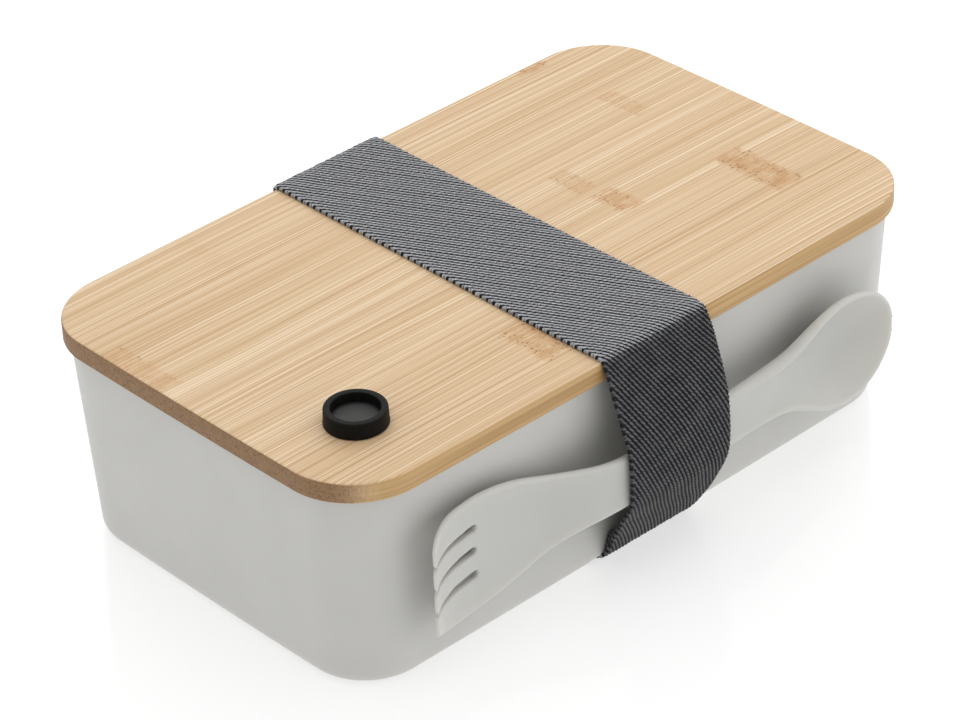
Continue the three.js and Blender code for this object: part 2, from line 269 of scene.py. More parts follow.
class Graph:
    """One material's nodes, built from short calls. A value is a number, a tuple or another node's output."""

    def __init__(self, name, **constants):
        self.material = bpy.data.materials.new(name)
        self.material.use_nodes = True
        self.tree = self.material.node_tree
        self.shader = self.tree.nodes["Principled BSDF"]
        for socket, value in constants.items():
            self.set(self.shader.inputs[socket.replace("_", " ")], value)

    def set(self, socket, value):
        if isinstance(value, bpy.types.NodeSocket):
            self.tree.links.new(value, socket)
        elif value is not None:
            socket.default_value = value

    def node(self, kind, values=(), output=0, **settings):
        made = self.tree.nodes.new(kind)
        for name, value in settings.items():
            setattr(made, name, value)
        for key, value in dict(values).items():
            self.set(made.inputs[key], value)
        return made.outputs[output]

    def math(self, operation, a, b=None, clamp=False):
        values = {0: a} if b is None else {0: a, 1: b}
        return self.node("ShaderNodeMath", values, operation=operation, use_clamp=clamp)

    def scaled(self, value, low, high, to_low=0.0, to_high=1.0, smooth=False):
        kind = "SMOOTHSTEP" if smooth else "LINEAR"
        values = {0: value, 1: low, 2: high, 3: to_low, 4: to_high}
        return self.node("ShaderNodeMapRange", values, interpolation_type=kind)

    def vector(self, x=0.0, y=0.0, z=0.0):
        return self.node("ShaderNodeCombineXYZ", {0: x, 1: y, 2: z})

    def split(self, vector):
        made = self.tree.nodes.new("ShaderNodeSeparateXYZ")
        self.set(made.inputs[0], vector)
        return made.outputs

    def place(self):
        """The point on the piece in millimetres of the CAD frame."""
        made = self.tree.nodes.new("ShaderNodeTexCoord")
        scale = (1 / MM,) * 3
        return self.node("ShaderNodeVectorMath", {0: made.outputs["Object"], 1: scale}, operation="MULTIPLY")

    def facing(self):
        """The direction of the surface in the piece's own frame."""
        return self.tree.nodes.new("ShaderNodeTexCoord").outputs["Normal"]

    def noise(self, vector, scale=1.0, detail=2.0, roughness=0.5):
        values = {"Vector": vector, "Scale": scale, "Detail": detail, "Roughness": roughness}
        return self.node("ShaderNodeTexNoise", values)

    def cells(self, vector, scale=1.0):
        return self.node("ShaderNodeTexVoronoi", {"Vector": vector, "Scale": scale})

    def blend(self, share, a, b):
        """The colour a, going to b as share goes to 1."""
        made = self.tree.nodes.new("ShaderNodeMix")
        made.data_type = "RGBA"
        for key, value in ((0, share), (6, a), (7, b)):
            self.set(made.inputs[key], value)
        return made.outputs[2]

    def bump(self, height, distance, strength=1.0):
        """Relief from a height of 0 to 1, over a distance in millimetres."""
        values = {"Height": height, "Distance": distance * MM, "Strength": strength}
        self.set(self.shader.inputs["Normal"], self.node("ShaderNodeBump", values))


def plastic(name, colour):
    """Satin polypropylene with the faint, fine grain of a textured mould."""
    g = Graph(name, Roughness=0.4, IOR=1.49, Subsurface_Weight=0.4, Subsurface_Scale=6 * MM)
    g.shader.inputs["Subsurface Radius"].default_value = (1.0, 0.85, 0.65)
    place = g.place()
    cloud = g.noise(place, 0.05, 2.0)
    warm = tuple(channel * 0.97 for channel in colour[:3]) + (1.0,)
    g.set(g.shader.inputs["Base Color"], g.blend(g.scaled(cloud, 0.35, 0.65), warm, colour))
    grain = g.noise(place, 2.2, 3.0, 0.6)
    g.set(g.shader.inputs["Roughness"], g.scaled(g.noise(place, 0.4, 3.0), 0.3, 0.7, 0.36, 0.46))
    g.bump(grain, 0.03, 0.35)
    return g.material


# Bamboo nodes on the lid's top: middle x, low y, high y, half length along x, how dark
BAMBOO_NODES = (
    (74.2, -36.2, -12.4, 4.4, 1.0),
    (75.0, 17.0, 33.5, 2.6, 0.45),
    (38.0, -15.4, -2.0, 3.6, 0.8),
    (36.4, 0.0, 12.6, 3.0, 0.6),
    (71.5, 55.0, 59.5, 4.6, 0.9),
    (-22.6, -50.4, -32.0, 4.0, 0.9),
    (-96.6, 7.0, 31.0, 3.0, 0.5),
    (4.0, 18.0, 42.0, 3.0, 0.8),
    (-52.0, 34.0, 58.0, 2.6, 0.15),
)
STRIP_WIDTH = 24.2


def bamboo():
    """Laminated bamboo: long fine fibres along the box, strips of slightly different tone, nodes with dark
    pores, and end grain with small dots on the short ends."""
    g = Graph("bamboo", Roughness=0.6, IOR=1.45)
    x, y, z = g.split(g.place())
    sway = g.noise(g.vector(g.math("MULTIPLY", x, 0.012), g.math("MULTIPLY", y, 0.04)), 1.0, 1.0)
    across = g.math("ADD", y, g.math("MULTIPLY", sway, 2.4))
    strip = g.math("FLOOR", g.math("DIVIDE", g.math("ADD", across, 199.0), STRIP_WIDTH))
    tone = g.node("ShaderNodeTexWhiteNoise", {"W": strip}, noise_dimensions="1D")
    layer = g.math("MULTIPLY", strip, 17.3)

    def fibres(stretch, pitch, detail):
        step = g.math("MULTIPLY", across, 1 / pitch)
        depth = g.math("ADD", layer, g.math("MULTIPLY", z, 0.5))
        return g.noise(g.vector(g.math("MULTIPLY", x, 1 / stretch), step, depth), 1.0, detail, 0.6)

    broad = fibres(300.0, 8.0, 1.0)
    streaks = fibres(220.0, 2.3, 1.0)
    lines = fibres(170.0, 0.33, 0.0)
    pale = fibres(150.0, 0.36, 0.0)
    hair = fibres(60.0, 0.2, 0.0)
    light, middle, deep = (0.685, 0.5, 0.308, 1), (0.625, 0.435, 0.25, 1), (0.45, 0.265, 0.12, 1)
    colour = g.blend(g.scaled(broad, 0.35, 0.65), light, middle)
    colour = g.blend(g.scaled(tone, 0.0, 1.0, 0.0, 0.35), colour, middle)
    colour = g.blend(g.scaled(streaks, 0.5, 0.75, 0.0, 0.22), colour, deep)
    colour = g.blend(g.scaled(pale, 0.45, 0.33, 0.0, 0.75), colour, (0.8, 0.65, 0.46, 1))
    colour = g.blend(g.scaled(lines, 0.55, 0.7, 0.0, 0.6), colour, deep)
    colour = g.blend(g.scaled(hair, 0.55, 0.72, 0.0, 0.25), colour, deep)

    patch, pores = bamboo_nodes(g, x, y)
    colour = g.blend(patch, colour, (0.5, 0.255, 0.09, 1))
    colour = g.blend(pores, colour, (0.25, 0.125, 0.055, 1))

    facing_x, facing_y, _ = g.split(g.facing())
    ends = g.scaled(g.math("ABSOLUTE", facing_x), 0.45, 0.85, smooth=True)
    sides = g.scaled(g.math("ABSOLUTE", facing_y), 0.6, 0.95, smooth=True)
    dots = g.cells(g.vector(0.0, g.math("MULTIPLY", y, 1.9), g.math("MULTIPLY", z, 1.6)), 1.0)
    cloud = g.noise(g.vector(g.math("MULTIPLY", x, 0.05), g.math("MULTIPLY", y, 0.3), z), 1.0, 2.0)
    end_grain = g.blend(g.scaled(dots, 0.1, 0.5), (0.1, 0.048, 0.018, 1), (0.25, 0.138, 0.06, 1))
    end_grain = g.blend(g.scaled(cloud, 0.35, 0.7, 0.0, 0.35), end_grain, (0.33, 0.2, 0.1, 1))
    along = g.noise(g.vector(g.math("MULTIPLY", x, 0.01), 0.0, g.math("MULTIPLY", z, 1.1)), 1.0, 3.0)
    side_grain = g.blend(g.scaled(along, 0.35, 0.65), (0.56, 0.365, 0.165, 1), (0.4, 0.24, 0.095, 1))
    colour = g.blend(sides, colour, side_grain)
    colour = g.blend(ends, colour, end_grain)
    g.set(g.shader.inputs["Base Color"], colour)
    g.set(g.shader.inputs["Roughness"], g.scaled(lines, 0.3, 0.7, 0.52, 0.68))
    grain = g.math("SUBTRACT", g.scaled(lines, 0.72, 0.4), g.math("MULTIPLY", pores, 1.5))
    g.bump(g.math("ADD", grain, g.math("MULTIPLY", hair, 0.5)), 0.04, 0.45)
    return g.material


def bamboo_nodes(g, x, y):
    """How much of the node's brown tint, and how much of its dark pores, a point has."""
    ragged = g.noise(g.vector(g.math("MULTIPLY", x, 0.3), g.math("MULTIPLY", y, 0.8)), 1.0, 3.0, 0.6)
    shifted = g.math("ADD", x, g.scaled(ragged, 0.0, 1.0, -2.6, 2.6))
    total, edges = 0.0, 0.0
    for middle_x, low_y, high_y, half, dark in BAMBOO_NODES:
        middle_y, reach_y = (low_y + high_y) / 2 + BOX_Y, (high_y - low_y) / 2
        off_x = g.math("DIVIDE", g.math("ABSOLUTE", g.math("SUBTRACT", shifted, middle_x)), half)
        far_y = g.math("SUBTRACT", g.math("ABSOLUTE", g.math("SUBTRACT", y, middle_y)), reach_y)
        inside_x = g.scaled(off_x, 1.35, 0.7, smooth=True)
        inside_y = g.scaled(far_y, 0.6, -1.2, smooth=True)
        share = g.math("MULTIPLY", g.math("MULTIPLY", inside_x, inside_y), dark)
        edge = g.math("MULTIPLY", share, g.scaled(off_x, 0.3, 0.9, 0.35, 1.0))
        total = g.math("MAXIMUM", share, total)
        edges = g.math("MAXIMUM", edge, edges)
    blotch = g.noise(g.vector(g.math("MULTIPLY", x, 0.2), g.math("MULTIPLY", y, 0.35), 9.0), 1.0, 2.0)
    patch = g.math("MULTIPLY", total, g.scaled(blotch, 0.3, 0.65, 0.15, 0.8), clamp=True)
    cell = g.cells(g.vector(g.math("MULTIPLY", x, 0.85), g.math("MULTIPLY", y, 1.0)), 1.0)
    dot = g.scaled(cell, 0.34, 0.18, 0.0, 1.0)
    return patch, g.math("MULTIPLY", dot, g.scaled(edges, 0.12, 0.75), clamp=True)


def silicone(name, colour, roughness, ior, floor_colour=None):
    """Moulded silicone with a soft, slightly uneven surface. floor_colour is for the floor of the vent plug's
    recess."""
    g = Graph(name, Roughness=roughness, IOR=ior)
    place = g.place()
    base = colour
    if floor_colour:
        x, y, z = g.split(place)
        off_x = g.math("SUBTRACT", x, PLUG_X)
        off_y = g.math("SUBTRACT", y, PLUG_Y + BOX_Y)
        squares = g.math("ADD", g.math("MULTIPLY", off_x, off_x), g.math("MULTIPLY", off_y, off_y))
        out = g.math("SQRT", squares)
        recess = PLUG_TOP - RECESS_DEPTH
        above = g.scaled(z, recess - 0.4, recess - 0.1)
        low = g.scaled(z, recess + 0.9, recess + 0.3)
        within = g.scaled(out, RECESS_RADIUS, RECESS_RADIUS - 0.8)
        base = g.blend(g.math("MULTIPLY", g.math("MULTIPLY", above, low), within), colour, floor_colour)
    wear_and_stitch_shade = g.noise(place, 0.9, 3.0)
    dust = g.scaled(wear_and_stitch_shade, 0.35, 0.7, 0.0, 0.06)
    g.set(g.shader.inputs["Base Color"], g.blend(dust, base, (0.06, 0.06, 0.058, 1)))
    rough = g.scaled(wear_and_stitch_shade, 0.3, 0.7, roughness - 0.06, roughness + 0.08)
    g.set(g.shader.inputs["Roughness"], rough)
    g.bump(g.noise(place, 5.0, 3.0), 0.03, 0.4)
    return g.material


def woven(name):
    """Woven elastic: slanted ribs of twisted melange yarn with dark gaps between them. The mesh's own
    attributes give x across and s along the band in millimetres, the count of ribs, and a share that is 0 on
    flat runs and 1 on upright ones. That share widens the gaps, as the weave is stretched open there, and
    turns the yarn to a far darker copy of its colour: painted shade on the upright runs, the flat runs being
    the lit copy."""
    g = Graph(name, Roughness=0.85, IOR=1.45)
    g.shader.inputs["Sheen Weight"].default_value = 0.08
    g.shader.inputs["Sheen Roughness"].default_value = 0.4
    attribute = g.node("ShaderNodeAttribute", output=1, attribute_name="weave")
    x, s, count = g.split(attribute)
    opened_and_shaded = g.node("ShaderNodeAttribute", output=2, attribute_name="opened_and_shaded")
    rib = g.math("FLOOR", count)
    phase = g.math("SUBTRACT", count, rib)
    from_gap = g.math("MINIMUM", phase, g.math("SUBTRACT", 1.0, phase))
    drift = g.noise(g.vector(x, s, 0.0), 0.3, 2.0)
    row = g.math("ADD", g.math("DIVIDE", s, STITCH_PITCH), g.math("MULTIPLY", phase, 0.7))
    stitch = g.math("FRACT", g.math("ADD", row, drift))
    from_end = g.math("MINIMUM", stitch, g.math("SUBTRACT", 1.0, stitch))
    bead = g.scaled(from_end, 0.0, 0.3, 0.0, 1.0, smooth=True)
    fluff = g.noise(g.vector(g.math("MULTIPLY", x, 2.2), g.math("MULTIPLY", s, 1.8), 0.0), 1.0, 3.0, 0.75)
    patchy = g.noise(g.vector(g.math("MULTIPLY", x, 0.25), g.math("MULTIPLY", s, 0.25), 5.0), 1.0, 2.0)
    notch = g.scaled(bead, 0.0, 1.0, g.scaled(opened_and_shaded, 0.0, 1.0, 0.06, 0.16), 0.0)
    steep_gap = g.scaled(patchy, 0.35, 0.65, 0.16, 0.28)
    width = g.math("ADD", notch, g.scaled(opened_and_shaded, 0.0, 1.0, 0.17, steep_gap))
    yarn = g.scaled(g.math("SUBTRACT", from_gap, width), -0.06, 0.09, smooth=True)
    # Lit and shaded copies of the yarn colour: the light one for flat runs, and the far darker one for
    # upright runs as painted shade
    flat = g.blend(g.scaled(fluff, 0.32, 0.7), (0.15, 0.152, 0.162, 1), (0.66, 0.663, 0.68, 1))
    steep = g.blend(g.scaled(fluff, 0.35, 0.68), (0.035, 0.035, 0.037, 1), (0.155, 0.156, 0.159, 1))
    melange = g.blend(opened_and_shaded, flat, steep)
    # Painted shade in the creases at each stitch's ends, where the bead sinks: the yarn darkens there
    wear_and_stitch_shade = g.blend(g.scaled(bead, 0.0, 1.0, 0.45, 0.0), melange, (0.03, 0.031, 0.037, 1))
    g.set(g.shader.inputs["Base Color"], g.blend(yarn, (0.003, 0.0035, 0.0065, 1), wear_and_stitch_shade))
    relief = g.math("ADD", g.math("MULTIPLY", bead, 0.6), g.math("MULTIPLY", fluff, 0.5))
    g.bump(g.math("MULTIPLY", relief, yarn), 0.22, 0.9)
    return g.material


def sewing_thread():
    """Dark twisted thread."""
    g = Graph("sewing_thread", Roughness=0.7)
    g.shader.inputs["Sheen Weight"].default_value = 0.3
    x, y, z = g.split(g.place())
    twist = g.math("SINE", g.math("MULTIPLY", g.math("ADD", g.math("ADD", x, y), z), 12.0))
    ply = g.scaled(twist, -1.0, 1.0)
    g.set(g.shader.inputs["Base Color"], g.blend(ply, (0.02, 0.021, 0.026, 1), (0.09, 0.092, 0.1, 1)))
    g.bump(ply, 0.06, 0.8)
    return g.material


# ---------------------------------------------------------------- pieces

def make_tub():
    foot_end = (FOOT_INSET, FOOT_ROUND, FOOT_CORNER)
    rim_start = (RIM_INSET, RIM_TOP - RIM_ROUND, LID_CORNER)
    inner_rim = (RIM_INSET + WALL, RIM_TOP - RIM_ROUND, LID_CORNER)
    inner_foot = (FOOT_INSET + WALL, FLOOR + INNER_ROUND, FOOT_CORNER)
    foot_centre, floor_centre = FOOT_INSET + FOOT_ROUND, FOOT_INSET + WALL + INNER_ROUND
    rings = [
        (foot_centre + 1.0, 0.0, FOOT_CORNER),
        *section_round(foot_centre, FOOT_ROUND, FOOT_ROUND, -90, 0, FOOT_CORNER),
        *section_line(foot_end, rim_start, 6),
        *section_round(RIM_INSET + RIM_ROUND, RIM_TOP - RIM_ROUND, RIM_ROUND, 0, 90),
        *section_round(RIM_INSET + WALL - RIM_ROUND, RIM_TOP - RIM_ROUND, -RIM_ROUND, -90, 0),
        *section_line(inner_rim, inner_foot, 6),
        *section_round(floor_centre, FLOOR + INNER_ROUND, INNER_ROUND, 0, -90, FOOT_CORNER, 12),
        (floor_centre + 1.0, FLOOR, FOOT_CORNER),
    ]
    piece = loft("food_tub", [box_outline(*ring) for ring in rings])
    reach = CHANNEL_WIDTH / 2
    low = (BAND_X - reach - WALL, -HALF_WIDTH + RAISED_FLOOR_INSET, FLOOR - 1.0)
    high = (BAND_X + reach + WALL, HALF_WIDTH - RAISED_FLOOR_INSET, FLOOR + CHANNEL_DEPTH)
    combine(piece, block("raised_floor", low, high, 0.9), "UNION")
    # The channel is open at both ends, so its tool goes past the box
    low, high = (BAND_X - reach, -90, -CHANNEL_DEPTH), (BAND_X + reach, 90, CHANNEL_DEPTH)
    combine(piece, block("channel", low, high, 0.8), "DIFFERENCE")
    soften(piece, 32)
    return piece


def make_lid():
    groove = STEP_INSET + GROOVE_DEPTH
    under = LID_UNDER_ROUND
    rings = [
        (STEP_INSET + 2.0, STEP_BOTTOM),
        *section_round(STEP_INSET + under, STEP_BOTTOM + under, under, -90, 0, steps=4),
        (STEP_INSET, GROOVE_TOP - GROOVE_HEIGHT),
        (groove, GROOVE_TOP - GROOVE_HEIGHT),
        (groove, GROOVE_TOP),
        (STEP_INSET, GROOVE_TOP),
        (STEP_INSET, LID_UNDER),
        *section_round(under, LID_UNDER + under, under, -90, 0, steps=4),
        *section_round(LID_EDGE_ROUND, LID_TOP - LID_EDGE_ROUND, LID_EDGE_ROUND, 0, 90),
        (LID_EDGE_ROUND + 1.0, LID_TOP),
    ]
    piece = loft("bamboo_lid", [box_outline(*ring) for ring in rings])
    angles = np.arange(HOLE_SIDES) * 2 * math.pi / HOLE_SIDES
    circle = np.stack([PLUG_X + HOLE_RADIUS * np.cos(angles), PLUG_Y + HOLE_RADIUS * np.sin(angles)], 1)
    levels = [(*place, level) for level in (STEP_BOTTOM - 5, LID_TOP + 5) for place in circle]
    combine(piece, loft("vent_hole", np.array(levels).reshape(2, HOLE_SIDES, 3)), "DIFFERENCE")
    soften(piece, 32)
    return piece


def make_seal():
    back = STEP_INSET + GROOVE_DEPTH - GAP
    lip = RIM_INSET + WALL + SEAL_WALL_GAP
    root = lip + SEAL_LIP
    low, high = GROOVE_TOP - GROOVE_HEIGHT + GAP, GROOVE_TOP - GAP
    heights = np.linspace(low, high, 17)
    wave = (1 - np.cos(np.linspace(0, 4 * math.pi, 17))) / 2
    rings = [(back, low), *((root - SEAL_LIP * w, h) for w, h in zip(wave, heights)), (back, high)]
    piece = loft("lid_seal_ring", [box_outline(*ring) for ring in rings], joined=True)
    soften(piece, 50)
    return piece


def make_plug():
    head = LID_TOP + 0.15
    stem = STEP_BOTTOM - 1.5
    stem_radius = HOLE_RADIUS - GAP
    recess = PLUG_TOP - RECESS_DEPTH

    def arc(radius, z, size, start, end, steps=5):
        angles = np.radians(np.linspace(start, end, steps + 1))
        return [(radius + size * math.cos(a), z + size * math.sin(a)) for a in angles]

    profile = [
        (2.4, stem),
        *arc(stem_radius - 1.4, stem + 1.4, 1.4, -80, 0),
        (stem_radius, stem + 3.0),
        (stem_radius, head),
        (stem_radius + 0.6, head),
        *arc(PLUG_RADIUS - 0.3, head + 0.3, 0.3, -90, 0),
        (PLUG_RADIUS - 0.1, head + 1.0),
        *arc(PLUG_TOP_RADIUS - 0.3, PLUG_TOP - 0.3, 0.3, 5, 90),
        *arc(RECESS_RADIUS + 0.25, PLUG_TOP - 0.25, 0.25, 90, 180),
        *arc(RECESS_RADIUS - 0.5, recess + 0.5, 0.5, 0, -90),
        (RECESS_RADIUS - 1.2, recess),
    ]
    angles = np.arange(PLUG_SIDES) * 2 * math.pi / PLUG_SIDES
    rings = [
        np.stack([PLUG_X + r * np.cos(angles), PLUG_Y + r * np.sin(angles), np.full(PLUG_SIDES, z)], 1)
        for r, z in profile
    ]
    piece = loft("silicone_vent_plug", rings)
    soften(piece, 50)
    return piece


# The band's outer face as a path round the box, from under the tub up the back, over the lid, down the front
# and back under: y and z of its left edge, y and z of its right edge, and how far each edge draws in
BAND_PATH = (
    (0, 0.5, 0, 0.5, 0.6, 0.6),
    (30, 0.5, 30, 0.5, 0.5, 0.5),
    (50, 0.5, 50, 0.5, 0.4, 0.4),
    (55.2, 0.9, 55.2, 0.9, 0.3, 0.3),
    (57.1, 2.6, 57.1, 2.6, 0.2, 0.2),
    (57.9, 8, 57.9, 8, 0.1, 0.1),
    (58.9, 28, 58.9, 28, 0, 0),
    (60.3, 50, 60.3, 50, 0, 0),
    (60.8, 57, 60.8, 57, 0, 0),
    (60.9, 61.6, 60.9, 61.6, 0, 0),
    (60.2, 63.6, 60.2, 63.6, 0, 0),
    (58.2, 64.15, 58.2, 64.15, 0, 0),
    (50, 64.15, 50, 64.15, 0, 0),
    (25, 64.1, 25, 64.1, 0, 0),
    (0, 64.1, 0, 64.1, 0, 0),
    (-25, 64.1, -25, 64.1, 0, 0),
    (-50, 64.15, -50, 64.15, 0, 0),
    (-58.2, 64.15, -58.2, 64.15, 0, 0),
    (-60.2, 63.4, -60.3, 63.5, 0, 0),
    (-61.4, 61.2, -61.5, 61.5, 0, -0.1),
    (-62.9, 57.4, -62.9, 58.2, 0, -0.3),
    (-65.2, 51.3, -64.6, 53.6, 0, -0.3),
    (-67.4, 45.4, -66.6, 47.8, 0, -0.2),
    (-69.2, 40.0, -68.4, 42.0, 0, 0.0),
    (-69.75, 35.0, -69.2, 36.4, 0, 0.2),
    (-69.75, 30.0, -69.5, 30.4, 0.1, 0.3),
    (-69.3, 25.2, -69.1, 24.6, 0.3, 0.4),
    (-67.6, 21.4, -67.5, 19.9, 0.5, 0.5),
    (-65.3, 17.6, -65.5, 15.7, 0.9, 0.7),
    (-62.0, 12.0, -62.8, 10.6, 2.0, 0.9),
    (-59.1, 7.0, -59.9, 6.0, 3.0, 1.1),
    (-57.0, 2.9, -57.5, 2.7, 3.2, 1.2),
    (-55.1, 0.9, -55.2, 0.9, 2.9, 1.2),
    (-50, 0.5, -50, 0.5, 1.2, 1.0),
    (-30, 0.5, -30, 0.5, 0.9, 0.8),
)
ROWS_PER_RIB = 10
FACE_COLUMNS = 46
INNER_COLUMNS = 4
EDGE_STEPS = 4
NEARBY = 0.0006  # share of the band over which its slope is measured
LAP_Z = 28.0
LAP_LENGTH = 14.0
LAP_RISE = 1.2
STITCH_TURNS = 13
STITCH_REACH = 4.2 * 0.9
THREAD_RADIUS = 0.26


def closed_curve(points):
    """A closed smooth curve through the points, as many close points, how far along it each lies from 0 to 1,
    and its length. Each point may hold several values, and its first two are the ones that measure length."""
    points = np.array(points, float)
    steps = np.linalg.norm(np.roll(points, -1, 0)[:, :2] - points[:, :2], axis=1) ** 0.5
    before, after = np.roll(points, 1, 0), np.roll(points, -1, 0)
    back = np.roll(steps, 1)
    slopes = (
        (points - before) / back[:, None] - (after - before) / (back + steps)[:, None]
        + (after - points) / steps[:, None]
    )
    t = np.linspace(0, 1, 60, endpoint=False)[:, None]
    dense = []
    for index in range(len(points)):
        other = (index + 1) % len(points)
        step = steps[index]
        dense.append(
            (1 + 2 * t) * (1 - t) ** 2 * points[index] + t * (1 - t) ** 2 * step * slopes[index]
            + t * t * (3 - 2 * t) * points[other] + t * t * (t - 1) * step * slopes[other]
        )
    dense = np.concatenate(dense)
    closed = np.vstack([dense, dense[:1]])
    length = np.concatenate([[0], np.cumsum(np.linalg.norm(np.diff(closed[:, :2], axis=0), axis=1))])
    return closed, length / length[-1], length[-1]


def band_surface(share, u):
    """Points and outward directions of the band's outer face: share is 0 to 1 along it, u 0 to 1 across."""
    closed, place, _ = BAND_CURVE
    share = share % 1.0
    values = [np.interp(share, place, closed[:, column]) for column in range(closed.shape[1])]
    ahead = [np.interp((share + NEARBY) % 1.0, place, closed[:, column]) for column in range(4)]
    behind = [np.interp((share - NEARBY) % 1.0, place, closed[:, column]) for column in range(4)]
    y = values[0] + (values[2] - values[0]) * u
    z = values[1] + (values[3] - values[1]) * u
    left = BAND_X - BAND_WIDTH / 2 + values[4]
    right = BAND_X + BAND_WIDTH / 2 - values[5]
    x = left + (right - left) * u
    along_y = (ahead[0] - behind[0]) * (1 - u) + (ahead[2] - behind[2]) * u
    along_z = (ahead[1] - behind[1]) * (1 - u) + (ahead[3] - behind[3]) * u
    size = np.hypot(along_y, along_z)
    return x, y, z, along_z / size, -along_y / size


BAND_CURVE = closed_curve(BAND_PATH)


def lap_rise(y, z):
    """How much higher the outer face is where the band's two ends lap."""
    off = np.abs(z - LAP_Z)
    return np.where(y > 50, LAP_RISE * (1 - smooth_step(off, LAP_LENGTH / 2 - 0.5, LAP_LENGTH / 2)), 0.0)


def make_band():
    length = BAND_CURVE[2]
    ribs = round(length / RIB_PITCH)
    rows = ribs * ROWS_PER_RIB
    face_u = np.linspace(0, 1, FACE_COLUMNS)
    turn = np.linspace(0, math.pi, EDGE_STEPS + 2)[1:-1]
    inner_u = np.linspace(1, 0, INNER_COLUMNS)
    half = BAND_THICKNESS / 2
    # Round the band: outer face, right edge, inner face and left edge, as place across it, depth, how far
    # past the edge, and how much of the ribs' relief it has
    columns = [(u, 0.0, 0.0, 1.0) for u in face_u]
    columns += [(1.0, half * (1 - math.cos(a)), SELVEDGE * math.sin(a), 0.5) for a in turn]
    columns += [(u, BAND_THICKNESS, 0.0, 0.0) for u in inner_u]
    columns += [(0.0, half * (1 + math.cos(a)), -SELVEDGE * math.sin(a), 0.5) for a in turn]
    u, depth, past, relief = (np.array(values)[None, :] for values in zip(*columns))

    row = np.arange(rows)[:, None]
    share = row / rows + u * BAND_WIDTH * RIB_SLOPE / length
    x, y, z, out_y, out_z = band_surface(share, np.broadcast_to(u, share.shape))
    phase = (row / ROWS_PER_RIB) % 1.0
    rib = np.sqrt(np.clip(1 - ((phase - 0.5) / 0.5) ** 2, 0, 1))
    random = np.random.default_rng(SEED)
    uneven = np.repeat(random.uniform(0.8, 1.0, ribs), ROWS_PER_RIB)[:, None]
    near_edge = 1 - smooth_step(np.minimum(u, 1 - u), 0.0, 0.03)
    sink = relief * RIB_RELIEF * (1 - rib * uneven * (1 - 0.35 * near_edge))
    tooth = past * (1.0 - SELVEDGE_WAVE * np.cos(4 * math.pi * phase))
    rise = lap_rise(y, z) * (depth < half)
    offset = -depth - sink + rise
    weave_x = x + tooth
    points = np.stack([weave_x, y + out_y * offset, z + out_z * offset], -1)
    faces = grid_faces(rows, u.shape[1], True)
    piece = mesh_object("woven_band", points, faces)
    along, count = np.broadcast_to(share * length, x.shape), np.broadcast_to(row / ROWS_PER_RIB, x.shape)
    values = np.stack([weave_x, along, count], -1)
    attribute = piece.data.attributes.new("weave", "FLOAT_VECTOR", "POINT")
    attribute.data.foreach_set("vector", values.astype(np.float32).ravel())
    # 0 on flat runs and 1 on upright ones: the woven material widens the gaps there, and paints the yarn on
    #                                       the upright runs darker as shade
    opened_and_shaded = smooth_step(np.abs(out_y), 0.45, 0.9)
    attribute = piece.data.attributes.new("opened_and_shaded", "FLOAT", "POINT")
    attribute.data.foreach_set("value", opened_and_shaded.astype(np.float32).ravel())
    bm = bmesh.new()
    bm.from_mesh(piece.data)
    bmesh.ops.recalc_face_normals(bm, faces=bm.faces)
    bm.to_mesh(piece.data)
    bm.free()
    return piece


def make_stitches():
    """A zigzag of sewing thread across the lap, a little sunk into it at each turn."""
    pitch = (BAND_WIDTH - 4) / STITCH_TURNS
    steps = np.linspace(0, STITCH_TURNS, STITCH_TURNS * 14 + 1)
    swing = 2 * np.abs((steps % 2) - 1) - 1
    x = BAND_X - BAND_WIDTH / 2 + 2 + steps * pitch
    z = LAP_Z + STITCH_REACH * np.sin(swing * math.pi / 2) + 0.42 * swing
    # y follows the band's run up the back of the tub
    y = np.interp(z, [2, 28, 50], [57.1, 58.9, 60.3]) + LAP_RISE + 0.06 - 0.3 * np.abs(swing) ** 6
    return loft("band_stitches", ring_tube(np.stack([x, y, z], 1), THREAD_RADIUS))


# Spork stations along X: half its width, how far its long edges stand out from the middle of the box, how
# much nearer the box the middle of its face lies, and its thickness
SPORK_STATIONS = (
    (-81.6, 12.4, 67.6, 0.0, 1.3), (-78.5, 14.3, 65.6, 0.3, 1.6),
    (-75, 15.5, 64.2, 0.7, 1.9), (-66, 16.2, 62.6, 1.4, 2.1),
    (-57, 15.5, 62.2, 1.5, 2.2), (-49, 13.7, 62.3, 1.3, 2.2), (-41, 11.1, 63.0, 0.9, 2.2),
    (-33, 9.2, 64.8, 0.4, 2.3), (-25, 7.9, 66.8, 0.1, 2.4), (-14, 7.3, 67.9, 0.0, 2.6),
    (4, 7.4, 68.0, 0.0, 2.8), (20, 7.8, 67.6, 0.3, 3.4), (33, 8.0, 67.3, 1.2, 4.0),
    (41, 9.1, 67.3, 2.8, 4.0), (47, 11.6, 67.4, 4.6, 3.6), (53, 14.5, 67.5, 6.4, 2.9),
    (61, 16.15, 67.5, 7.6, 2.3), (66, 15.7, 67.4, 7.2, 2.1), (71, 13.8, 67.2, 5.5, 2.0),
    (80, 3.0, 66.6, 0.2, 1.8),
)
SPOON_WIDEST_X = 61.0
SPOON_END_X = 79.9
SPOON_HALF = 16.15
SPOON_SAG = 7.6
SPORK_MAX_OUT = 68.1
TINE_TIP_X = -81.6
TINE_ROUND = 0.7
TINE_SPARE = 0.4  # by how much the outer tines' rounded tips go past the spork's own edges
SLOT_HALF = 1.1
SLOT_TIP_HALF = 0.5
SLOT_END_X = -63.6
SPORK_VOXEL = 0.34
SPORK_SMOOTHING = 12


